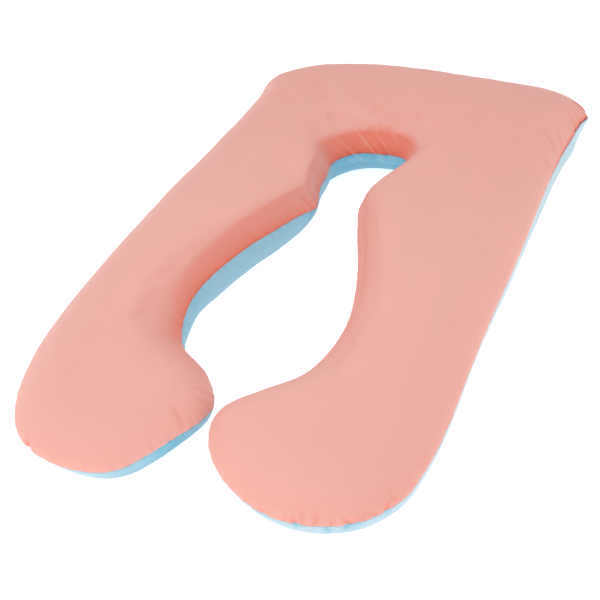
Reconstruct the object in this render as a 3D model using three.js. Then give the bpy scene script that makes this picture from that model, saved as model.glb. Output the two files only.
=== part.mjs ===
// A U-shaped pregnancy pillow lying flat. Its cover is two panels, coral above and light blue
// below, sewn together along one seam that runs right round the edge, and stuffed full.
// Millimetres, +Z up, origin under the middle of the pillow's box, head towards +Y.
import * as THREE from 'three';

// Driving dimensions
const length = 1300;        // from the head's edge to the tips of the feet
const seamHeight = 88;      // the edge seam above the floor, halfway along
const seamRise = 8;         // how much higher it lies at the head, and lower at the feet
const seamGap = 0.3;        // between the two panels at the seam
const shoulderDepth = 60;   // from the seam up to where the upper shoulder levels off
const shoulderReach = 86;   // from the seam in to the same place
const archReach = 56;       // the same round the arch, where the cloth turns over more sharply
const shoulderCurve = 1.9;  // 2 is an ellipse
const crownDepth = 6;       // the last soft rise in the middle of the legs and the head
const crownReach = 165;
const tuckReach = 56;       // how far the lower side slopes in from the seam to the floor
const tuckRounding = 26;    // how far either side of that line its lower edge is rounded

// Resolution
const ribsPerSection = 4;
const pointsAcross = 16;
const smoothingPasses = 3;

// One row for each section across a leg, from the tip of the foot to the middle of the head.
// x is outward from the middle line and y is from the foot end, for the ends of the section
// on the inner and on the outer edge. The legs are a pair, each a little uneven in its own way.
const rightLeg = [
  { at: 'foot tip',      innerX: 204, innerY:   18, outerX: 204, outerY:   18 },
  { at: 'toe',           innerX: 110, innerY:   44, outerX: 309, outerY:   43 },
  { at: 'foot',          innerX:  41, innerY:   99, outerX: 369, outerY:  110 },
  { at: 'foot lobe',     innerX:  16, innerY:  161, outerX: 385, outerY:  184 },
  { at: 'instep',        innerX:  53, innerY:  222, outerX: 390, outerY:  259 },
  { at: 'calf',          innerX: 122, innerY:  298, outerX: 388, outerY:  354 },
  { at: 'belly widest',  innerX: 144, innerY:  424, outerX: 385, outerY:  463 },
  { at: 'belly',         innerX: 109, innerY:  571, outerX: 386, outerY:  602 },
  { at: 'below neck',    innerX:  58, innerY:  698, outerX: 386, outerY:  745 },
  { at: 'neck',          innerX:  31, innerY:  788, outerX: 385, outerY:  876 },
  { at: 'arch foot',     innerX:  58, innerY:  865, outerX: 388, outerY: 1003 },
  { at: 'arch side',     innerX:  78, innerY:  930, outerX: 396, outerY: 1127 },
  { at: 'head corner',   innerX:  60, innerY:  972, outerX: 396, outerY: 1212 },
  { at: 'head quarter',  innerX:  28, innerY:  987, outerX: 308, outerY: 1262 },
  { at: 'head inner',    innerX:  13, innerY:  989, outerX: 158, outerY: 1290 },
];
const leftLeg = [
  { at: 'foot tip',      innerX: 209, innerY:    0, outerX: 209, outerY:    0 },
  { at: 'toe',           innerX: 108, innerY:   22, outerX: 306, outerY:   32 },
  { at: 'foot',          innerX:  42, innerY:   95, outerX: 362, outerY:  105 },
  { at: 'foot lobe',     innerX:   7, innerY:  182, outerX: 386, outerY:  182 },
  { at: 'instep',        innerX:  46, innerY:  251, outerX: 397, outerY:  259 },
  { at: 'calf',          innerX: 131, innerY:  309, outerX: 402, outerY:  357 },
  { at: 'belly widest',  innerX: 174, innerY:  428, outerX: 403, outerY:  468 },
  { at: 'belly',         innerX: 145, innerY:  574, outerX: 401, outerY:  603 },
  { at: 'below neck',    innerX:  93, innerY:  697, outerX: 397, outerY:  737 },
  { at: 'neck',          innerX:  65, innerY:  781, outerX: 390, outerY:  865 },
  { at: 'arch foot',     innerX:  78, innerY:  858, outerX: 384, outerY:  997 },
  { at: 'arch side',     innerX:  92, innerY:  927, outerX: 384, outerY: 1127 },
  { at: 'head corner',   innerX:  66, innerY:  971, outerX: 386, outerY: 1216 },
  { at: 'head quarter',  innerX:  29, innerY:  988, outerX: 303, outerY: 1270 },
  { at: 'head inner',    innerX:  13, innerY:  989, outerX: 158, outerY: 1297 },
];
const headMiddle = { innerX: 0, innerY: 989, outerX: 0, outerY: 1300 };

// Where the arch's own shoulder holds, fading out over the radius.
const archZone = { x: 0, y: 930, radius: 150 };

// Soft hollows where the seam pulls the upper panel down: place, depth and radius of each.
const hollows = [
  { at: 'left neck corner',   x:  -85, y:  800, depth:  9, radius: 42 },
  { at: 'right neck corner',  x:   55, y:  800, depth:  6, radius: 38 },
  { at: 'left instep',        x:  -75, y:  262, depth:  6, radius: 45 },
  { at: 'right instep',       x:   80, y:  235, depth:  5, radius: 45 },
  { at: 'right head corner',  x:  345, y: 1200, depth:  7, radius: 48 },
];

// Places where the seam wanders up or down from its even line: lift is in height.
const seamWaves = [
  { at: 'right head side',    x:  395, y: 1080, lift: 14, radius: 190 },
  { at: 'left foot lobe',     x:    0, y:  150, lift:  4, radius: 70 },
  { at: 'arch top',           x:    0, y:  990, lift: -4, radius: 60 },
];

// A table's point on the plan, moved to the part's frame; side is 1 on the right, -1 on the left.
function planPoint(row, edge, side) {
  return new THREE.Vector3(side * row[edge + 'X'], row[edge + 'Y'] - length / 2, 0);
}

// The sections in order, from the left foot round the head to the right foot.
function sectionEnds() {
  const left = leftLeg.map((row) => ({ row, side: -1 }));
  const right = rightLeg.map((row) => ({ row, side: 1 })).reverse();
  return [...left, { row: headMiddle, side: 1 }, ...right].map(({ row, side }) => ({
    inner: planPoint(row, 'inner', side),
    outer: planPoint(row, 'outer', side),
  }));
}

// One smooth closed seam line through all the section ends. A rib joins its two sides.
const ends = sectionEnds();
const outerWay = ends.map((end) => end.outer);
const innerWay = ends.slice(1, -1).map((end) => end.inner).reverse();
const seamLine = new THREE.CatmullRomCurve3([...outerWay, ...innerWay], true, 'centripetal');
const loopCount = seamLine.points.length;
const ribCount = (ends.length - 1) * ribsPerSection;

function ribEnds(rib) {
  const along = rib / ribsPerSection / loopCount;
  return {
    outer: seamLine.getPoint(along),
    inner: seamLine.getPoint(1 - along),
  };
}

// The seam line as a fine chain of straight pieces, for measuring how far in a point lies.
const seamChain = seamLine.getPoints(loopCount * ribsPerSection * 2);

function distanceIn(x, y) {
  let nearest = Infinity;
  for (let i = 1; i < seamChain.length; i += 1) {
    const from = seamChain[i - 1];
    const run = [seamChain[i].x - from.x, seamChain[i].y - from.y];
    const share = ((x - from.x) * run[0] + (y - from.y) * run[1]) / (run[0] ** 2 + run[1] ** 2);
    const at = Math.min(1, Math.max(0, share));
    nearest = Math.min(nearest, Math.hypot(x - from.x - at * run[0], y - from.y - at * run[1]));
  }
  return nearest;
}

// 1 at a zone's or bump's own place, falling away with the square of the distance from it.
function nearness(place, x, y) {
  const away = Math.hypot(x - place.x, y + length / 2 - place.y) / place.radius;
  return Math.exp(-(away ** 2));
}

// The sum of soft round bumps from a table.
function bumps(table, column, x, y) {
  return table.reduce((sum, bump) => sum + bump[column] * nearness(bump, x, y), 0);
}

// From 0 at the seam to 1 at the shoulder's reach, steep first and level at the end.
function shoulder(distance, x, y) {
  const reach = shoulderReach + (archReach - shoulderReach) * nearness(archZone, x, y);
  const left = 1 - Math.min(distance / reach, 1);
  return (1 - left ** shoulderCurve) ** (1 / shoulderCurve);
}

// From 1 at the seam to 0 on the floor: a straight slope that a parabola rounds off.
function tuck(distance) {
  const above = tuckReach - distance;
  if (above > tuckRounding) {
    return above / tuckReach;
  }
  return Math.max(0, above + tuckRounding) ** 2 / (4 * tuckRounding * tuckReach);
}

function seamLevel(x, y) {
  return seamHeight + seamRise * (y / (length / 2)) + bumps(seamWaves, 'lift', x, y);
}

function upperLevel(x, y) {
  const inward = distanceIn(x, y);
  const rise = shoulder(inward, x, y);
  const crown = 1 - (1 - Math.min(inward / crownReach, 1)) ** 2;
  const dip = rise * bumps(hollows, 'depth', x, y);
  return seamLevel(x, y) + seamGap / 2 + shoulderDepth * rise + crownDepth * crown - dip;
}

function lowerLevel(x, y) {
  return (seamLevel(x, y) - seamGap / 2) * tuck(distanceIn(x, y));
}

// Points across each rib, closer together near the seam. The two foot tips are single points.
function ribGrid() {
  const grid = [];
  for (let rib = 0; rib <= ribCount; rib += 1) {
    const { inner, outer } = ribEnds(rib);
    const isTip = rib === 0 || rib === ribCount;
    const count = isTip ? 0 : pointsAcross;
    const row = [];
    for (let step = 0; step <= count; step += 1) {
      const share = isTip ? 0 : (1 - Math.cos((Math.PI * step) / count)) / 2;
      row.push({ x: inner.x + (outer.x - inner.x) * share, y: inner.y + (outer.y - inner.y) * share });
    }
    grid.push(row);
  }
  return grid;
}

// Averages each inner height with its four neighbours, which rounds the creases that a
// distance leaves where two shoulders meet.
function smoothHeights(heights) {
  for (let pass = 0; pass < smoothingPasses; pass += 1) {
    const before = heights.map((row) => [...row]);
    for (let rib = 2; rib < ribCount - 1; rib += 1) {
      for (let step = 2; step < pointsAcross - 1; step += 1) {
        const alongRibs = before[rib - 1][step] + before[rib + 1][step];
        const acrossRibs = before[rib][step - 1] + before[rib][step + 1];
        heights[rib][step] = (before[rib][step] + (alongRibs + acrossRibs) / 4) / 2;
      }
    }
  }
}

// One closed solid: a curved face over the ribs and a flat-cut face across the seam.
function panelGeometry(level, cutOffset, facesUp, smooth) {
  const grid = ribGrid();
  const heights = grid.map((row) => row.map((point) => level(point.x, point.y)));
  const isEdge = (row, step) => row.length === 1 || step === 0 || step === row.length - 1;
  grid.forEach((row, rib) => row.forEach((point, step) => {
    if (isEdge(row, step)) {
      heights[rib][step] = seamLevel(point.x, point.y) + cutOffset;
    }
  }));
  if (smooth) {
    smoothHeights(heights);
  }

  const positions = [];
  const index = grid.map((row, rib) => row.map((point, step) => {
    positions.push(point.x, point.y, heights[rib][step]);
    return positions.length / 3 - 1;
  }));

  const faces = [];
  const addFace = (a, b, c) => faces.push(...(facesUp ? [a, b, c] : [a, c, b]));
  for (let rib = 1; rib < ribCount - 1; rib += 1) {
    for (let step = 0; step < pointsAcross; step += 1) {
      const [a, b] = [index[rib][step], index[rib][step + 1]];
      const [c, d] = [index[rib + 1][step], index[rib + 1][step + 1]];
      addFace(a, c, d);
      addFace(a, d, b);
    }
  }
  for (let step = 0; step < pointsAcross; step += 1) {
    addFace(index[0][0], index[1][step], index[1][step + 1]);
    addFace(index[ribCount][0], index[ribCount - 1][step + 1], index[ribCount - 1][step]);
  }

  const outerEdge = index.map((row) => row[row.length - 1]);
  const innerEdge = index.slice(1, -1).map((row) => row[0]).reverse();
  const rim = [...outerEdge, ...innerEdge];
  const rimPlan = rim.map((at) => new THREE.Vector2(positions[at * 3], positions[at * 3 + 1]));
  for (const [a, b, c] of THREE.ShapeUtils.triangulateShape(rimPlan, [])) {
    const [p, q, r] = [rimPlan[a], rimPlan[b], rimPlan[c]];
    const turn = (q.x - p.x) * (r.y - p.y) - (q.y - p.y) * (r.x - p.x);
    const [first, second] = turn < 0 ? [b, c] : [c, b];
    addFace(rim[a], rim[first], rim[second]);
  }

  const geometry = new THREE.BufferGeometry();
  geometry.setAttribute('position', new THREE.Float32BufferAttribute(positions, 3));
  geometry.setIndex(faces);
  geometry.computeVertexNormals();
  return geometry;
}

function panel(name, geometry, colour) {
  const cloth = new THREE.MeshStandardMaterial({ color: colour, roughness: 0.85, metalness: 0 });
  const mesh = new THREE.Mesh(geometry, cloth);
  mesh.name = name;
  return mesh;
}

const pillow = new THREE.Group();
pillow.add(panel('top_panel', panelGeometry(upperLevel, seamGap / 2, true, true), '#eeb0a5'));
pillow.add(panel('bottom_panel', panelGeometry(lowerLevel, -seamGap / 2, false, false), '#cee3f0'));

// The legs differ a little, so the pillow is moved until its box is centred on the origin.
const middle = new THREE.Box3().setFromPoints(seamChain).getCenter(new THREE.Vector3());
pillow.position.set(-middle.x, -middle.y, 0);

export default pillow;
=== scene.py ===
import bpy
import math
import random
import numpy as np
from mathutils import Matrix, Vector, kdtree, noise


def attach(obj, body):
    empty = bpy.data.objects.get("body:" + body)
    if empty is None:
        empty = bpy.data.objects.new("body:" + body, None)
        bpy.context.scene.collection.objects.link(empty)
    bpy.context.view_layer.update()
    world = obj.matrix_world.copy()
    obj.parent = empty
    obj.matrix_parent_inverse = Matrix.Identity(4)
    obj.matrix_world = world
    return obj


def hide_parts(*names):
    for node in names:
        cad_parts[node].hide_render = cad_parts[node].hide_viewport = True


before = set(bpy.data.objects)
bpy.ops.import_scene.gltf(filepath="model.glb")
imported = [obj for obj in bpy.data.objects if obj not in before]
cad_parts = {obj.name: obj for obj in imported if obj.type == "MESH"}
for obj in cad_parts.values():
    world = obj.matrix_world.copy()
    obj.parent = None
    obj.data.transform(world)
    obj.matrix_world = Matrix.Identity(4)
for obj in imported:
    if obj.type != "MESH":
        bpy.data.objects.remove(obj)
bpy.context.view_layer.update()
print("frame loaded", sorted(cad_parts))

# lengths are in metres, unless a name ends in Mm

# where the photograph was taken from, and how the pillow lies in its frame
view = {
    "place": (0.7544, -1.3386, 1.2466),
    "ahead": (-0.4031, 0.6502, -0.6441),
    "right": (0.8991, 0.4127, -0.1460),
    "photoSide": 600,          # pixels
    "focalPixels": 953.8,
    "sensor": 36.0,            # mm
    "farthest": 30,
}


def addCamera():
    ahead = Vector(view["ahead"]).normalized()
    right = Vector(view["right"])
    right = (right - ahead * right.dot(ahead)).normalized()
    up = right.cross(ahead)
    bpy.ops.object.camera_add()
    camera = bpy.context.object
    turn = Matrix((right, up, -ahead)).transposed().to_4x4()
    camera.matrix_world = Matrix.Translation(view["place"]) @ turn
    camera.data.sensor_width = view["sensor"]
    camera.data.lens = view["focalPixels"] / view["photoSide"] * view["sensor"]
    camera.data.clip_end = view["farthest"]
    bpy.context.scene.camera = camera
    print("camera placed, lens", round(camera.data.lens, 1))


def deselectAll():
    bpy.ops.object.select_all(action="DESELECT")


def makeActive(piece):
    deselectAll()
    piece.select_set(True)
    bpy.context.view_layer.objects.active = piece


def applyModifier(piece, kind, name, **settings):
    makeActive(piece)
    modifier = piece.modifiers.new(name, kind)
    for key, value in settings.items():
        setattr(modifier, key, value)
    bpy.ops.object.modifier_apply(modifier=modifier.name)


def readPoints(piece):
    flat = np.zeros(len(piece.data.vertices) * 3, np.float32)
    piece.data.vertices.foreach_get("co", flat)
    return flat.reshape(-1, 3).astype(float)


def readNormals(piece):
    flat = np.zeros(len(piece.data.vertices) * 3, np.float32)
    piece.data.vertices.foreach_get("normal", flat)
    return flat.reshape(-1, 3).astype(float)


def writePoints(piece, points):
    piece.data.vertices.foreach_set("co", points.astype(np.float32).ravel())
    piece.data.update()


def copyNode(name, newName):
    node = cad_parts[name]
    mesh = node.data.copy()
    mesh.materials.clear()
    piece = bpy.data.objects.new(newName, mesh)
    bpy.context.scene.collection.objects.link(piece)
    makeActive(piece)
    bpy.ops.object.mode_set(mode="EDIT")
    bpy.ops.mesh.select_all(action="SELECT")
    bpy.ops.mesh.remove_doubles(threshold=body["weld"])
    bpy.ops.object.mode_set(mode="OBJECT")
    return piece


# the seam that joins the two panels: a closed chain of points, read from where they meet
seam = {"spacing": 0.002, "gap": 0.0004}


def findSeam(upper, lower):
    below = kdtree.KDTree(len(lower.data.vertices))
    for vertex in lower.data.vertices:
        below.insert(vertex.co, vertex.index)
    below.balance()
    rim = {v.index for v in upper.data.vertices if below.find(v.co)[2] < seam["gap"]}
    uses = {}
    for polygon in upper.data.polygons:
        if rim.issuperset(polygon.vertices):
            for key in polygon.edge_keys:
                uses[key] = uses.get(key, 0) + 1
    nextTo = {v: [] for v in rim}
    for (a, b), count in uses.items():
        if count == 1:
            nextTo[a].append(b)
            nextTo[b].append(a)
    order = [min(rim)]
    before = None
    for _ in range(len(rim) - 1):
        here = order[-1]
        order.append(next(v for v in nextTo[here] if v != before))
        before = here
    corners = np.array([upper.data.vertices[v].co for v in order])
    chain = []
    for a, b in zip(corners, np.roll(corners, -1, axis=0)):
        count = max(1, int(np.linalg.norm(b - a) / seam["spacing"]))
        chain += [a + (b - a) * i / count for i in range(count)]
    chain = np.roll(np.array(chain), -int(np.argmax(np.array(chain)[:, 1])), axis=0)
    steps = np.linalg.norm(np.roll(chain, -1, axis=0) - chain, axis=1)
    seam["chain"] = chain
    seam["along"] = np.concatenate([[0], np.cumsum(steps)[:-1]])
    seam["length"] = steps.sum()
    tree = kdtree.KDTree(len(chain))
    for i, point in enumerate(chain):
        tree.insert((point[0], point[1], 0), i)
    tree.balance()
    seam["tree"] = tree
    ahead = np.roll(chain, -6, axis=0) - np.roll(chain, 6, axis=0)
    outward = np.stack([ahead[:, 1], -ahead[:, 0]], axis=1)
    after = np.roll(chain, -1, axis=0)
    turning = (chain[:, 0] * after[:, 1] - after[:, 0] * chain[:, 1]).sum()
    seam["outward"] = outward / np.linalg.norm(outward, axis=1)[:, None] * np.sign(turning)
    print("seam found,", len(chain), "points,", round(seam["length"], 2), "m")


def nearestSeam(points):
    nearest = np.zeros(len(points), int)
    inward = np.zeros(len(points))
    for i, point in enumerate(points):
        _, nearest[i], inward[i] = seam["tree"].find((point[0], point[1], 0))
    return nearest, inward


def seamLevel(points):
    nearest, _ = nearestSeam(points)
    return seam["chain"][nearest, 2]


# what changes along the seam, from places on the pillow's plan
seamMarks = {
    # x and y in mm, bulge of the blue half in mm, painted shade on the coral, painted shade on the blue,
    # gathering, groove in mm, how the folds lean as they leave the seam, how far the seam rides up in mm,
    # and how much fuller the shoulder above it is in mm
    "places": [
        (233, -639, 15, 0.10, 0.05, 1.0, 1.5, 0.0, 0, 0),
        (312, -612, 16, 0.10, 0.08, 1.0, 1.5, 0.0, 0, 0),
        (359, -569, 16, 0.12, 0.05, 0.8, 1.5, 0.0, 0, 0),
        (402, -412, 15, 0.10, 0.0, 0.35, 1.2, 0.0, 0, 0),
        (407, -150, 15, 0.05, 0.0, 0.25, 1.0, 0.0, 0, 0),
        (395, 80, 18, 0.05, 0.0, 0.25, 1.0, 0.0, 0, 0),
        (389, 243, 21, 0.05, 0.0, 0.3, 1.2, 0.0, 0, 0),
        (384, 370, 20, 0.08, 0.0, 0.4, 3.4, 0.0, 0, 0),
        (384, 440, 17, 0.12, 0.0, 0.5, 4.0, 0.0, 0, 0),
        (395, 520, 9, 0.25, 0.0, 0.6, 4.0, 0.0, 0, 0),
        (400, 580, 1, 0.30, 0.1, 0.6, 3.0, 0.0, 0, 0),
        (384, 612, 4, 0.20, 0.1, 0.6, 2.0, 0.0, 0, 0),
        (300, 650, 12, 0.05, 0.1, 0.4, 1.0, 0.0, 0, 0),
        (0, 650, 12, 0.05, 0.1, 0.3, 1.0, 0.0, 0, 0),
        (-300, 640, 12, 0.05, 0.1, 0.5, 1.0, 0.0, 0, 0),
        (-385, 300, 12, 0.05, 0.05, 0.25, 1.0, 0.0, 0, 0),
        (-395, -100, 12, 0.05, 0.05, 0.25, 1.0, 0.0, 0, 0),
        (-395, -450, 10, 0.05, 0.05, 0.3, 1.0, 0.0, 0, 0),
        (-300, -620, 6, 0.08, 0.0, 0.6, 1.2, 0.0, 0, 0),
        (-149, -652, 10, 0.08, 0.1, 0.4, 1.2, 0.0, 0, 0),
        (-104, -629, 11, 0.10, 0.25, 0.4, 1.2, 0.0, 0, 0),
        (-62, -602, 14, 0.06, 0.35, 0.4, 1.2, 0.0, 0, 0),
        (-30, -540, 9, 0.06, 0.62, 0.6, 1.5, 0.0, 0, 0),
        (-14, -500, 8, 0.06, 0.40, 0.6, 1.5, 0.0, 0, 0),
        (-14, -437, 6, 0.05, 0.10, 0.6, 1.5, 0.0, 0, 0),
        (-60, -385, 2, 0.45, 0.4, 0.5, 1.2, 0.0, 0, 0),
        (-111, -349, 10, 0.60, 0.5, 0.4, 1.2, 0.0, 5, 0),
        (-160, -279, 23, 0.62, 0.4, 0.4, 1.2, 0.0, 8, 0),
        (-162, -158, 34, 0.62, 0.38, 0.4, 1.2, 0.0, 11, 6),
        (-126, -51, 30, 0.62, 0.38, 0.35, 1.2, 0.0, 11, 12),
        (-75, 58, 20, 0.55, 0.38, 0.4, 1.5, 0.0, 4, 15),
        (-62, 112, 12, 0.32, 0.45, 0.8, 2.0, 0.2, -2, 15),
        (-76, 160, 12, 0.36, 0.42, 0.8, 1.7, 0.3, 1, 20),
        (-86, 200, 12, 0.36, 0.4, 0.7, 1.5, 0.4, 3, 20),
        (-93, 236, 15, 0.30, 0.55, 0.6, 1.3, 0.5, 2, 12),
        (-98, 271, 16, 0.75, 0.55, 0.5, 1.2, 0.6, 0, 8),
        (-78, 312, 15, 0.95, 0.58, 0.6, 1.2, 0.7, -3, 5),
        (-27, 335, 17, 1.0, 0.55, 0.9, 1.2, 0.8, -4, 5),
        (32, 339, 17, 1.0, 0.55, 0.9, 1.2, 0.7, -3, 5),
        (63, 325, 11, 1.0, 0.6, 0.7, 1.2, 0.5, 0, 5),
        (75, 250, 0, 0.90, 0.75, 0.6, 1.2, 0.2, 0, 5),
        (19, 160, 0, 0.45, 0.6, 0.7, 1.5, 0.0, 0, 8),
        (65, 29, 2, 0.55, 0.5, 0.4, 1.2, 0.0, 0, 7),
        (146, -195, 2, 0.60, 0.5, 0.35, 1.2, 0.0, 0, 4),
        (107, -339, 3, 0.60, 0.5, 0.4, 1.2, 0.0, 0, 0),
        (26, -449, 5, 0.45, 0.60, 0.6, 1.2, 0.0, 0, 0),
        (18, -499, 6, 0.20, 0.45, 0.7, 1.5, 0.0, 0, 0),
        (94, -594, 10, 0.08, 0.10, 0.7, 1.5, 0.0, 0, 0),
    ],
}


def spreadMarks():
    places = np.array(seamMarks["places"])
    at = np.array([seam["tree"].find((x / 1000, y / 1000, 0))[1] for x, y in places[:, :2]])
    order = np.argsort(at)
    columns = ("bulge", "coralShade", "blueShade", "gather", "groove", "lean", "lift", "shoulder")
    for column, name in enumerate(columns):
        values = places[order, column + 2]
        seam[name] = np.interp(seam["along"], seam["along"][at[order]], values, period=seam["length"])
    seam["chain"][:, 2] += seam["lift"] / 1000


# the stuffed body, before it is cut in two at the seam
body = {
    "weld": 0.00002,
    "voxel": 0.0078,
    "undersize": 0.003,      # the shape starts this much smaller and swells past its own size
    "pressure": 4.0,
    "frames": 20,
    "mostSwell": 0.007,      # the simulation goes further: each point is held to this distance
    "cloth": {
        "quality": 4,
        "mass": 0.2,
        "tension_stiffness": 12,
        "compression_stiffness": 12,
        "shear_stiffness": 6,
        "bending_stiffness": 1.5,
        "air_damping": 2,
    },
}


def makeBody():
    upper = copyNode("top_panel", "stuffedBody")
    lower = copyNode("bottom_panel", "lowerHalf")
    findSeam(upper, lower)
    deselectAll()
    lower.select_set(True)
    upper.select_set(True)
    bpy.context.view_layer.objects.active = upper
    bpy.ops.object.join()
    applyModifier(upper, "REMESH", "remesh", mode="VOXEL", voxel_size=body["voxel"], adaptivity=0)
    print("body remeshed,", len(upper.data.polygons), "faces")
    return upper


def swell(piece):
    start = readPoints(piece)
    writePoints(piece, start - readNormals(piece) * body["undersize"])
    makeActive(piece)
    modifier = piece.modifiers.new("cloth", "CLOTH")
    settings = modifier.settings
    for key, value in body["cloth"].items():
        setattr(settings, key, value)
    settings.use_pressure = True
    settings.uniform_pressure_force = body["pressure"]
    settings.effector_weights.gravity = 0
    modifier.collision_settings.use_collision = False
    modifier.point_cache.frame_start = 1
    modifier.point_cache.frame_end = body["frames"]
    for step in range(1, body["frames"] + 1):
        bpy.context.scene.frame_set(step)
    bpy.ops.object.modifier_apply(modifier=modifier.name)
    bpy.context.scene.frame_set(1)
    moved = readPoints(piece) - start
    size = np.linalg.norm(moved, axis=1)
    most, mean = round(size.max() * 1000, 1), round(size.mean() * 1000, 1)
    held = round((size > body["mostSwell"]).mean() * 100)
    print("cloth swelled, most", most, "mm, mean", mean, "mm,", held, "% of the points held back")
    share = np.minimum(1, body["mostSwell"] / np.maximum(size, 1e-9))
    points = start + moved * share[:, None]
    points[:, 2] = np.maximum(points[:, 2], 0)
    writePoints(piece, points)


def smoothStep(low, high, value):
    t = np.clip((value - low) / (high - low), 0, 1)
    return t * t * (3 - 2 * t)


# places that stand fuller than the rest: centre, reach and move, all in mm
fuller = {
    "sharpness": 1.5,          # how quickly they fade out
    "aboveFloor": 0.05,        # they reach their full size this far above the floor
    "places": [
        {"centre": (-120, 600, 130), "reach": (210, 110, 80), "move": (0, 8, 8)},
        {"centre": (-350, 620, 110), "reach": (90, 70, 90), "move": (5, -8, -2)},
        {"centre": (330, 610, 130), "reach": (90, 70, 60), "move": (0, 5, 4)},
        {"centre": (-372, -60, 120), "reach": (60, 460, 60), "move": (-8, 0, 4)},
        {"centre": (398, 552, 94), "reach": (34, 32, 40), "move": (10, -5, -2)},
        {"centre": (396, 455, 60), "reach": (34, 75, 45), "move": (8, 0, 0)},
        {"centre": (-8, -455, 80), "reach": (34, 75, 60), "move": (7, 0, 0)},
        {"centre": (-90, -625, 60), "reach": (110, 60, 50), "move": (4, -9, 0)},
        {"centre": (-82, 170, 105), "reach": (60, 48, 90), "move": (-10, 0, 0)},
        {"centre": (-58, 112, 100), "reach": (34, 30, 60), "move": (8, -3, 0)},
        {"centre": (392, 515, 50), "reach": (34, 55, 45), "move": (6, 0, 0)},
        {"centre": (60, 620, 130), "reach": (200, 110, 80), "move": (0, 4, 4)},
        {"centre": (-385, -330, 70), "reach": (60, 220, 80), "move": (-6, 0, 0)},
        {"centre": (-250, 600, 130), "reach": (130, 110, 80), "move": (0, 3, 5)},
    ],
}


def fillOut(piece):
    points = readPoints(piece)
    for place in fuller["places"]:
        off = (points * 1000 - place["centre"]) / place["reach"]
        weight = np.exp(-(off ** 2).sum(axis=1) * fuller["sharpness"])
        weight *= smoothStep(0.0, fuller["aboveFloor"], points[:, 2])
        points += weight[:, None] * np.array(place["move"]) / 1000
    writePoints(piece, points)


# the outline is drawn back out to the seam, the lower half bulges below it, and the shoulder fills above
edge = {
    "run": 0.02,                     # the outline is measured over runs of this length
    "near": (0.005, 0.025),          # from points this close to the seam, in height and in plan
    "above": 0.030,
    "below": 0.024,
    "falloff": 1.6,
    "inward": (0.05, 0.09),
    "bulgeMm": (0, 30),              # below the seam the bulge grows over this drop
    "tuckMm": (45, 105),             # and shrinks again over this one
    "tuckShare": 0.6,
    "shoulderStart": (0, 0.022),
    "shoulderEnd": (0.026, 0.075),
    "shoulderRise": (0.01, 0.04),
    "shoulderOut": 0.5,
}


def shapeEdge(piece):
    points = readPoints(piece)
    nearest, away = nearestSeam(points)
    height = points[:, 2] - seam["chain"][nearest, 2]
    outward = seam["outward"][nearest]
    offset = ((points[:, :2] - seam["chain"][nearest, :2]) * outward).sum(axis=1)
    along = seam["along"][nearest]
    near = (np.abs(height) < edge["near"][0]) & (away < edge["near"][1])
    bins = (along / edge["run"]).astype(int)
    number = np.bincount(bins[near], minlength=bins.max() + 1)
    total = np.bincount(bins[near], weights=offset[near], minlength=bins.max() + 1)
    middles = (np.arange(len(number)) + 0.5) * edge["run"]
    mean = total / np.maximum(number, 1)
    lack = -np.interp(along, middles[number > 0], mean[number > 0], period=seam["length"])
    reach = np.where(height > 0, edge["above"], edge["below"])
    byEdge = 1 - smoothStep(*edge["inward"], away)
    push = lack * np.exp(-np.abs(height / reach) ** edge["falloff"]) * byEdge
    drop = -height * 1000
    hump = smoothStep(*edge["bulgeMm"], drop) * (1 - edge["tuckShare"] * smoothStep(*edge["tuckMm"], drop))
    push += seam["bulge"][nearest] / 1000 * hump * byEdge
    points[:, :2] += outward * push[:, None]
    full = smoothStep(*edge["shoulderStart"], away) * (1 - smoothStep(*edge["shoulderEnd"], away))
    full *= smoothStep(*edge["shoulderRise"], height)
    full *= seam["shoulder"][nearest] / 1000
    points[:, 2] += full
    points[:, :2] += outward * full[:, None] * edge["shoulderOut"]
    writePoints(piece, points)
    print("edge drawn out by", round(lack[near].mean() * 1000, 1), "mm on average")


# pleats where the stitching gathers the cloth, some above the seam and some below
pleats = {
    "seed": 11,
    "spacing": (0.013, 0.034),
    "depth": (0.0006, 0.0024),
    "halfWidth": (0.0032, 0.0060),
    "reach": (0.010, 0.028),
    "slant": 0.35,
    "reachShare": (0.6, 0.6),  # of the reach: without gathering, and what full gathering adds
    "zone": 0.08,              # no pleat is looked for further from the seam
    "fadeShare": (0.3, 1.3),   # of the reach
    "sideEdge": 0.003,
    # plain single ones: x, y, depth, half width and reach in mm, slant,
    # and the side: 1 above the seam, -1 below, 0 both
    "single": [
        (180, -632, 2.0, 4.5, 14, 0.3, 0),
        (233, -639, 3.0, 4.5, 15, 0.2, 0),
        (276, -632, 3.0, 4.0, 40, -0.3, -1),
        (312, -612, 3.0, 5.0, 16, 0.2, 0),
        (326, -607, 2.2, 4.0, 14, -0.3, 0),
        (347, -584, 2.4, 4.5, 15, 0.3, 1),
        (359, -569, 2.6, 4.5, 17, -0.2, 0),
        (-271, -637, 4.0, 5.0, 22, 0.0, 0),
        (400, 559, 12.0, 5.0, 50, 0.0, 1),
    ],
}


def placePleats():
    rng = random.Random(pleats["seed"])
    placed = []
    for x, y, depth, halfWidth, reach, slant, side in pleats["single"]:
        at = seam["along"][seam["tree"].find((x / 1000, y / 1000, 0))[1]]
        placed.append((at, depth / 1000, halfWidth / 1000, reach / 1000, slant, side))
    for side in (1, -1):
        at = 0.0
        while at < seam["length"]:
            strength = np.interp(at, seam["along"], seam["gather"])
            depth = rng.uniform(*pleats["depth"]) * strength
            plain, gathered = pleats["reachShare"]
            reach = rng.uniform(*pleats["reach"]) * (plain + gathered * strength)
            halfWidth = rng.uniform(*pleats["halfWidth"])
            slant = np.interp(at, seam["along"], seam["lean"])
            slant += rng.uniform(-pleats["slant"], pleats["slant"])
            placed.append((at, depth, halfWidth, reach, slant, side))
            at += rng.uniform(*pleats["spacing"])
    return placed


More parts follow.
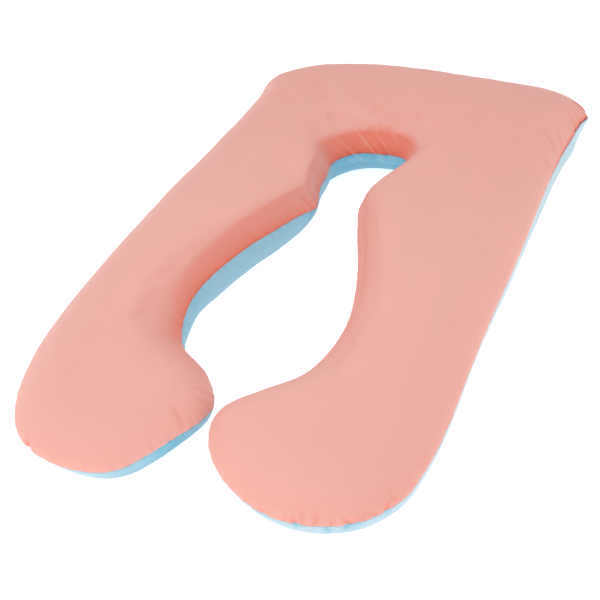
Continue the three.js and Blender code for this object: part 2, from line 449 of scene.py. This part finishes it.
# single folds in the cloth: both ends in mm, depth and half width in mm.
# A ridge has a depth below nought
creases = {
    "endShare": 0.35,          # how much of its depth a fold keeps at its ends
    "aboveFloor": (0.0, 0.02),
    "folds": [
        # ridges that run down the wall of the arch
        (-84, 372, 156, -36, 338, 101, -2.6, 5.0),
        (-58, 376, 156, -23, 340, 96, 1.6, 5.0),
        (-40, 380, 156, -14, 341, 100, -1.6, 4.0),
        (-30, 380, 156, -8, 341, 98, -2.0, 4.0),
        (-18, 382, 156, 1, 340, 99, 1.4, 4.5),
        (-13, 380, 156, 11, 341, 100, -2.2, 4.0),
        (7, 380, 156, 23, 340, 102, -1.6, 4.0),
        (30, 378, 156, 40, 338, 98, 1.2, 5.0),
        # folds on the wall of the left neck, and the pinched corner below it
        (-103, 205, 140, -82, 188, 112, 1.2, 4.0),
        (-97, 190, 140, -76, 170, 108, -1.6, 4.0),
        (-92, 172, 136, -72, 152, 104, 1.3, 4.0),
        (-86, 152, 132, -68, 136, 100, -1.8, 4.0),
        (-84, 130, 130, -66, 122, 92, 1.5, 4.0),
        (-96, 98, 138, -70, 108, 88, 2.6, 5.5),
        # the blue wall under the arch
        (-66, 334, 80, -52, 352, 30, -2.5, 5.0),
        (-5, 342, 80, 4, 356, 34, -1.4, 5.0),
        # the head, drawn tight towards its corners
        (-240, 505, 160, -150, 422, 160, 2.6, 12.0),
        (-205, 500, 160, -118, 425, 160, -2.2, 12.0),
        (-318, 440, 155, -240, 402, 160, 2.2, 11.0),
        (-250, 293, 158, -220, 277, 158, 1.4, 13.0),
        (-186, 323, 158, -132, 296, 149, 0.9, 15.0),
        (-120, 460, 161, 30, 380, 150, 2.0, 12.0),
        (-152, 415, 160, -40, 388, 156, -1.6, 12.0),
        # the right corner of the head
        (345, 402, 158, 386, 360, 122, 1.8, 6.0),
        (368, 432, 149, 388, 390, 120, 1.6, 5.0),
        (380, 490, 140, 397, 475, 110, 1.6, 5.0),
        (362, 320, 144, 389, 316, 104, 1.4, 5.0),
        # the left foot
        (-42, -510, 124, -24, -520, 97, 1.8, 4.5),
        (-34, -458, 124, -13, -447, 95, 1.6, 4.5),
        (-22, -475, 116, -8, -463, 94, 1.4, 4.0),
    ],
    "swellMm": [(115.0, 1.3), (48.0, 0.45)],     # broad unevenness of the filling: width, height
}


def foldCloth(piece):
    points = readPoints(piece)
    normals = readNormals(piece)
    nearest, _ = nearestSeam(points)
    along = seam["along"][nearest]
    height = points[:, 2] - seam["chain"][nearest, 2]
    apart = np.linalg.norm(points - seam["chain"][nearest], axis=1)
    field = np.zeros(len(points))
    edgeZone = np.where(apart < pleats["zone"])[0]
    zoneAlong, zoneApart, zoneHeight = along[edgeZone], apart[edgeZone], height[edgeZone]
    half = seam["length"] / 2
    for at, depth, halfWidth, reach, slant, side in placePleats():
        off = (zoneAlong - at - slant * zoneApart + half) % seam["length"] - half
        close = np.abs(off) < halfWidth * 3
        fadeStart, fadeEnd = (reach * share for share in pleats["fadeShare"])
        mark = depth * np.exp(-(off[close] / halfWidth) ** 2)
        mark = mark * (1 - smoothStep(fadeStart, fadeEnd, zoneApart[close]))
        if side:
            mark *= smoothStep(-pleats["sideEdge"], pleats["sideEdge"], zoneHeight[close] * side)
        field[edgeZone[close]] += mark
    for x0, y0, z0, x1, y1, z1, depth, halfWidth in creases["folds"]:
        start = np.array([x0, y0, z0]) / 1000
        run = np.array([x1, y1, z1]) / 1000 - start
        span = run.dot(run)
        share = np.clip((points - start).dot(run) / span, 0, 1)
        distance = np.linalg.norm(points - start - share[:, None] * run, axis=1)
        middle = np.sin(np.pi * np.clip(share, 0.0, 1.0)) ** 0.5
        taper = creases["endShare"] + (1 - creases["endShare"]) * middle
        field += depth / 1000 * taper * np.exp(-(distance * 1000 / halfWidth) ** 2)
    uneven = np.zeros(len(points))
    for width, amount in creases["swellMm"]:
        for i, point in enumerate(points * 1000 / width):
            uneven[i] += noise.noise(Vector(point)) * amount / 1000
    uneven *= smoothStep(*creases["aboveFloor"], points[:, 2])
    points += normals * (uneven - field)[:, None]
    points[:, 2] = np.maximum(points[:, 2], 0)
    writePoints(piece, points)
    attribute = piece.data.attributes.new("pleatDepth", "FLOAT", "POINT")
    attribute.data.foreach_set("value", (field * 1000).astype(np.float32))
    print("cloth folded, deepest", round(field.max() * 1000, 1), "mm")


# where the body is cut: it is levelled to one height first, and set back to the seam's own level after
cut = {"height": 0.09, "onSeam": 0.00002, "upperShare": 0.3, "floor": 0.0004}


def cutAtSeam(piece, name, keepUpper):
    half = bpy.data.objects.new(name, piece.data.copy())
    bpy.context.scene.collection.objects.link(half)
    points = readPoints(half)
    points[:, 2] -= seamLevel(points) - cut["height"]
    writePoints(half, points)
    makeActive(half)
    bpy.ops.object.mode_set(mode="EDIT")
    bpy.ops.mesh.select_all(action="SELECT")
    bpy.ops.mesh.bisect(plane_co=(0, 0, cut["height"]), plane_no=(0, 0, 1), use_fill=True,
                        clear_inner=keepUpper, clear_outer=not keepUpper)
    bpy.ops.mesh.mark_sharp()
    bpy.ops.object.mode_set(mode="OBJECT")
    points = readPoints(half)
    nearest, _ = nearestSeam(points)
    onSeam = np.abs(points[:, 2] - cut["height"]) < cut["onSeam"]
    groove = seam["groove"][nearest] / 1000 * onSeam * (cut["upperShare"] if keepUpper else 1)
    points[:, :2] -= seam["outward"][nearest] * groove[:, None]
    points[:, 2] += seamLevel(points) - cut["height"]
    if not keepUpper:
        points[points[:, 2] < cut["floor"], 2] = 0
    writePoints(half, points)
    bpy.ops.object.shade_smooth()
    print(name, len(half.data.polygons), "faces")
    return half


def linear(hexColour):
    parts = [int(hexColour[i:i + 2], 16) / 255 for i in (1, 3, 5)]
    return tuple(c / 12.92 if c <= 0.04045 else ((c + 0.055) / 1.055) ** 2.4 for c in parts) + (1,)


def addNode(tree, kind, settings=None, inputs=None, links=None):
    node = tree.nodes.new(kind)
    for key, value in (settings or {}).items():
        setattr(node, key, value)
    for key, value in (inputs or {}).items():
        node.inputs[key].default_value = value
    for key, socket in (links or {}).items():
        tree.links.new(socket, node.inputs[key])
    return node


# brushed polyester plain weave: soft, matt, with a short nap that catches the light at its edges
cloth = {
    # each cloth's own colour, two painted shade tones for its inner walls and pleats, and a painted shadow
    # tone
    "coral": {"lit": "#efb1a6", "shaded": "#ea8773", "mostShaded": "#e4694f", "shadow": "#7c3a38"},
    "blue": {"lit": "#bfd6e0", "shaded": "#78bbd4", "mostShaded": "#5aa0bd", "shadow": "#3f7690"},
    "roughness": 0.85,
    "sheen": 0.25,
    "sheenRoughness": 0.45,
    "specular": 0.2,
    "threadMm": 2.4,         # real threads would be about 0.4 mm apart: drawn coarser, so that they show
    "napMm": 6.0,
    "puckerMm": 9.0,
    "ridgeMm": 12.0,
    "toneMm": 160.0,
    "rampPlaces": {"shaded": 0.5, "mostShaded": 0.8},
    "toneRange": (0.965, 1.035),
    "napRange": (0.985, 1.015),
    "ridgeNoise": (0.54, 0.80),      # painted highlights on the ridges down the arch start and peak here
    "ridgeHighlight": 0.26,
    "underShadeDim": 0.72,                # painted shade where the blue half turns under
    "rollRadius": 0.073,             # how the side rolls down to the seam, for laying the cloth flat
    "leastSide": 0.05,
    "puckerRelief": {"Strength": 0.8, "Distance": 0.003},
    "weaveRelief": {"Strength": 0.25, "Distance": 0.0002},
    "napRelief": {"Strength": 0.3, "Distance": 0.0004},
}


def clothMaterial(colour):
    colours = cloth[colour]
    material = bpy.data.materials.new(colour + "BrushedPolyester")
    material.use_nodes = True
    tree = material.node_tree
    tree.nodes.clear()
    place = addNode(tree, "ShaderNodeUVMap", {"uv_map": "clothFlat"})
    coordinates = addNode(tree, "ShaderNodeTexCoord")
    # painted shade: this attribute deepens the colour on the inner walls and in the pleats
    paintedShadeNode = addNode(tree, "ShaderNodeAttribute", {"attribute_name": "paintedShade"})

    threads = {"Scale": math.pi / 10 * 1000 / cloth["threadMm"]}
    warp = addNode(tree, "ShaderNodeTexWave", {"wave_type": "BANDS", "bands_direction": "X"},
                   threads, {"Vector": place.outputs["UV"]})
    weft = addNode(tree, "ShaderNodeTexWave", {"wave_type": "BANDS", "bands_direction": "Y"},
                   threads, {"Vector": place.outputs["UV"]})
    weave = addNode(tree, "ShaderNodeMath", {"operation": "MULTIPLY"}, None,
                    {0: warp.outputs["Fac"], 1: weft.outputs["Fac"]})
    nap = addNode(tree, "ShaderNodeTexNoise", None,
                  {"Scale": 1000 / cloth["napMm"], "Detail": 3, "Roughness": 0.6},
                  {"Vector": coordinates.outputs["Object"]})
    tone = addNode(tree, "ShaderNodeTexNoise", None, {"Scale": 1000 / cloth["toneMm"], "Detail": 2},
                   {"Vector": coordinates.outputs["Object"]})

    # painted highlights: pale ridges down the arch wall lighten the painted shade
    archRidgeHighlight = addNode(tree, "ShaderNodeAttribute", {"attribute_name": "archRidgeHighlight"})
    run = addNode(tree, "ShaderNodeAttribute", {"attribute_name": "seamRun"})
    ridge = addNode(tree, "ShaderNodeTexNoise", {"noise_dimensions": "1D"},
                    {"Scale": 1000 / cloth["ridgeMm"], "Detail": 0}, {"W": run.outputs["Fac"]})
    ridgeStart, ridgePeak = cloth["ridgeNoise"]
    ridgeTop = addNode(tree, "ShaderNodeMapRange", None,
                       {"From Min": ridgeStart, "From Max": ridgePeak, "To Min": 0.0,
                        "To Max": cloth["ridgeHighlight"]},
                       {"Value": ridge.outputs["Fac"]})
    ridges = addNode(tree, "ShaderNodeMath", {"operation": "MULTIPLY"}, None,
                     {0: ridgeTop.outputs["Result"], 1: archRidgeHighlight.outputs["Fac"]})
    shadeLessHighlight = addNode(tree, "ShaderNodeMath", {"operation": "SUBTRACT", "use_clamp": True}, None,
                       {0: paintedShadeNode.outputs["Fac"], 1: ridges.outputs[0]})
    # the ramp paints shade, from the cloth's own colour through shaded tones to a painted shadow
    ramp = addNode(tree, "ShaderNodeValToRGB", None, None, {"Fac": shadeLessHighlight.outputs[0]})
    stops = ramp.color_ramp.elements
    stops[0].position, stops[0].color = 0.0, linear(colours["lit"])
    stops[1].position, stops[1].color = 1.0, linear(colours["shadow"])
    for tint, position in cloth["rampPlaces"].items():
        stop = stops.new(position)
        stop.color = linear(colours[tint])
    darkTone, paleTone = cloth["toneRange"]
    toneRange = addNode(tree, "ShaderNodeMapRange", None, {"To Min": darkTone, "To Max": paleTone},
                        {"Value": tone.outputs["Fac"]})
    darkNap, paleNap = cloth["napRange"]
    napRange = addNode(tree, "ShaderNodeMapRange", None, {"To Min": darkNap, "To Max": paleNap},
                       {"Value": nap.outputs["Fac"]})
    both = addNode(tree, "ShaderNodeMath", {"operation": "MULTIPLY"}, None,
                   {0: toneRange.outputs["Result"], 1: napRange.outputs["Result"]})
    # painted shade where the blue half turns under, towards the floor
    under = addNode(tree, "ShaderNodeAttribute", {"attribute_name": "underShade"})
    dim = addNode(tree, "ShaderNodeMapRange", None, {"To Min": 1.0, "To Max": cloth["underShadeDim"]},
                  {"Value": under.outputs["Fac"]})
    amount = addNode(tree, "ShaderNodeMath", {"operation": "MULTIPLY"}, None,
                     {0: both.outputs[0], 1: dim.outputs["Result"]})
    shade = addNode(tree, "ShaderNodeVectorMath", {"operation": "SCALE"}, None,
                    {0: ramp.outputs["Color"], "Scale": amount.outputs[0]})

    gather = addNode(tree, "ShaderNodeAttribute", {"attribute_name": "gather"})
    pucker = addNode(tree, "ShaderNodeTexNoise", {"noise_dimensions": "1D"},
                     {"Scale": 1000 / cloth["puckerMm"], "Detail": 2, "Roughness": 0.55},
                     {"W": run.outputs["Fac"]})
    puckers = addNode(tree, "ShaderNodeMath", {"operation": "MULTIPLY"}, None,
                      {0: pucker.outputs["Fac"], 1: gather.outputs["Fac"]})
    puckerBump = addNode(tree, "ShaderNodeBump", None, cloth["puckerRelief"],
                         {"Height": puckers.outputs[0]})
    weaveBump = addNode(tree, "ShaderNodeBump", None, cloth["weaveRelief"],
                        {"Height": weave.outputs[0], "Normal": puckerBump.outputs["Normal"]})
    napBump = addNode(tree, "ShaderNodeBump", None, cloth["napRelief"],
                      {"Height": nap.outputs["Fac"], "Normal": weaveBump.outputs["Normal"]})
    shader = addNode(tree, "ShaderNodeBsdfPrincipled", None,
                     {"Roughness": cloth["roughness"], "Sheen Weight": cloth["sheen"],
                      "Sheen Roughness": cloth["sheenRoughness"], "Specular IOR Level": cloth["specular"]},
                     {"Base Color": shade.outputs[0], "Normal": napBump.outputs["Normal"]})
    addNode(tree, "ShaderNodeOutputMaterial", None, None, {"Surface": shader.outputs[0]})
    return material


def flatCloth(piece, height):
    points = readPoints(piece)
    normals = readNormals(piece)
    level = seamLevel(points)
    rise = np.clip(np.abs(points[:, 2] - level) / height, 0, 1)
    shift = cloth["rollRadius"] * (math.pi / 2 - np.arcsin(rise) - np.sqrt(1 - rise ** 2))
    slope = np.linalg.norm(normals[:, :2], axis=1)
    side = normals[:, :2] / np.maximum(slope, cloth["leastSide"])[:, None]
    flat = points[:, :2] + side * shift[:, None]
    corners = np.zeros(len(piece.data.loops), np.int32)
    piece.data.loops.foreach_get("vertex_index", corners)
    layer = piece.data.uv_layers.new(name="clothFlat")
    layer.data.foreach_set("uv", flat[corners].astype(np.float32).ravel())


# painted shade: deeper colour on the walls that face into the openings, where shade falls, and down in the
# pleats
shadePainting = {
    "steep": (0.02, 0.36),
    "wallShare": 0.62,               # the part of a wall's painted shade that doesn't fade from the seam
    "seamBand": 0.016,
    "bySeam": 0.18,
    "bySeamFrom": (0.12, 0.20),
    "bySeamBand": 0.010,
    "pleat": 0.12,
    "pleatOnFlat": 0.25,
    "aboveFloor": (0.0, 0.02),
    # the tone is a little darker towards the head end
    "head": 0.07,
    "headFrom": (-0.1, 0.5),
    "underside": (0.065, 0.11),
    "blueShare": (0.95, 0.15),       # plain, and what is added where it turns under
    "turned": (-0.1, 0.6),
    "outerShare": 0.6,               # the outer sides get less painted shade than the inner ones
    "innerFrom": (0.1, 0.4),
    "most": 0.8,
    "seamShadowLine": 0.14,
    "seamShadowGroove": (1.6, 3.6),
    "seamShadowBand": (0.0025, 0.004),
    "gatherFade": (0.004, 0.034),
    "archFrom": (0.60, 0.80),
    "archFade": (0.035, 0.065),
    "archOnBlue": 0.35,
}


# writes the painted shade and painted highlight masks, with the gathering and the run along the seam
def markPaintedShade(piece, isUpper):
    points = readPoints(piece)
    normals = readNormals(piece)
    nearest, away = nearestSeam(points)
    height = np.abs(points[:, 2] - seam["chain"][nearest, 2])
    apart = np.hypot(height, away)
    pleat = np.zeros(len(points), np.float32)
    piece.data.attributes["pleatDepth"].data.foreach_get("value", pleat)
    steep = smoothStep(*shadePainting["steep"], 1 - normals[:, 2])
    # painted shade on the blue where it faces down, more on the inner sides
    underShade = smoothStep(*shadePainting["turned"], -normals[:, 2]) * (not isUpper)
    isInner = smoothStep(*shadePainting["innerFrom"], seam["blueShade"][nearest])
    underShade *= shadePainting["outerShare"] + (1 - shadePainting["outerShare"]) * isInner
    # painted shade on the inner walls, strongest near the seam, and in the pleats
    if isUpper:
        inner = seam["coralShade"][nearest]
        nearSeam = np.exp(-height / shadePainting["seamBand"])
        depth = inner * steep * (shadePainting["wallShare"] + (1 - shadePainting["wallShare"]) * nearSeam)
        bySeam = smoothStep(*shadePainting["bySeamFrom"], inner) * np.exp(-height / shadePainting["bySeamBand"])
        depth += shadePainting["bySeam"] * bySeam
        depth = np.maximum(depth, shadePainting["head"] * smoothStep(*shadePainting["headFrom"], points[:, 1]))
    else:
        depth = seam["blueShade"][nearest] * (1 - smoothStep(*shadePainting["underside"], away))
        plain, added = shadePainting["blueShare"]
        depth *= plain + added * underShade
    pleatShare = shadePainting["pleatOnFlat"] + (1 - shadePainting["pleatOnFlat"]) * steep
    depth += pleat * shadePainting["pleat"] * pleatShare * smoothStep(*shadePainting["aboveFloor"], points[:, 2])
    depth = np.clip(depth, 0, 1) * shadePainting["most"]
    # a painted shadow line along the seam under the coral's edge, strongest where the groove is deep
    if isUpper:
        isGrooved = smoothStep(*shadePainting["seamShadowGroove"], seam["groove"][nearest])
        seamShadowLine = shadePainting["seamShadowLine"] + (1 - shadePainting["seamShadowLine"]) * isGrooved
        thin, wider = shadePainting["seamShadowBand"]
        depth += seamShadowLine * np.exp(-(height / (thin + wider * seamShadowLine)) ** 2)
    archSide = smoothStep(*shadePainting["archFrom"], seam["lean"][nearest])
    archSide *= 1 - smoothStep(*shadePainting["archFade"], apart)
    values = {
        "paintedShade": np.clip(depth, 0, 1),
        "underShade": underShade,
        "gather": seam["gather"][nearest] * (1 - smoothStep(*shadePainting["gatherFade"], apart)),
        "seamRun": seam["along"][nearest] - seam["lean"][nearest] * apart * (1 if isUpper else -1),
        "archRidgeHighlight": archSide * (1 if isUpper else shadePainting["archOnBlue"]),
    }
    for name, value in values.items():
        attribute = piece.data.attributes.new(name, "FLOAT", "POINT")
        attribute.data.foreach_set("value", value.astype(np.float32))
    piece.data.attributes.remove(piece.data.attributes["pleatDepth"])


# pale paper floor and soft studio light
studio = {
    "floorSize": 14,
    "floorLevel": -0.0005,
    "paper": "#f4f4f4",
    "paperRoughness": 0.9,
    "paperGlow": 0.78,
    "sky": 0.62,
    "lamps": [
        {"name": "overhead", "place": (0.2, -0.7, 2.6), "aim": (0, -0.1, 0), "size": 2.4, "power": 26},
        {"name": "frontLeft", "place": (-1.6, -2.0, 1.6), "aim": (0, 0, 0.05), "size": 1.6, "power": 8},
    ],
}


def addFloor():
    deselectAll()
    bpy.ops.mesh.primitive_plane_add(size=studio["floorSize"], location=(0, 0, studio["floorLevel"]))
    floor = bpy.context.object
    floor.name = "floor"
    material = bpy.data.materials.new("studioPaper")
    material.use_nodes = True
    tree = material.node_tree
    shader = tree.nodes["Principled BSDF"]
    shader.inputs["Base Color"].default_value = linear(studio["paper"])
    shader.inputs["Roughness"].default_value = studio["paperRoughness"]
    shader.inputs["Emission Color"].default_value = (1, 1, 1, 1)
    shader.inputs["Emission Strength"].default_value = studio["paperGlow"]
    floor.data.materials.append(material)


def addLights():
    scene = bpy.context.scene
    scene.view_settings.view_transform = "Standard"
    world = bpy.data.worlds.new("studio")
    scene.world = world
    world.use_nodes = True
    background = world.node_tree.nodes["Background"]
    background.inputs["Color"].default_value = (1, 1, 1, 1)
    background.inputs["Strength"].default_value = studio["sky"]
    for lamp in studio["lamps"]:
        bpy.ops.object.light_add(type="AREA", location=lamp["place"])
        light = bpy.context.object
        light.name = lamp["name"]
        light.data.size = lamp["size"]
        light.data.energy = lamp["power"]
        light.rotation_euler = (Vector(lamp["aim"]) - light.location).to_track_quat("-Z", "Y").to_euler()
    print("lights and floor placed")


addCamera()
stuffed = makeBody()
spreadMarks()
swell(stuffed)
applyModifier(stuffed, "SUBSURF", "finer", levels=1, render_levels=1)
shapeEdge(stuffed)
foldCloth(stuffed)
fillOut(stuffed)
top = cutAtSeam(stuffed, "coralPanel", True)
bottom = cutAtSeam(stuffed, "bluePanel", False)
bpy.data.objects.remove(stuffed)

for piece, node, slotName, colour, height, isUpper in (
        (top, "top_panel", "coral_cloth", "coral", 0.066, True),
        (bottom, "bottom_panel", "blue_cloth", "blue", 0.09, False)):
    flatCloth(piece, height)
    markPaintedShade(piece, isUpper)
    piece.data.materials.append(clothMaterial(colour))
    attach(piece, "root")
    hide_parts(node)
    print(piece.name, "dressed")

addFloor()
addLights()
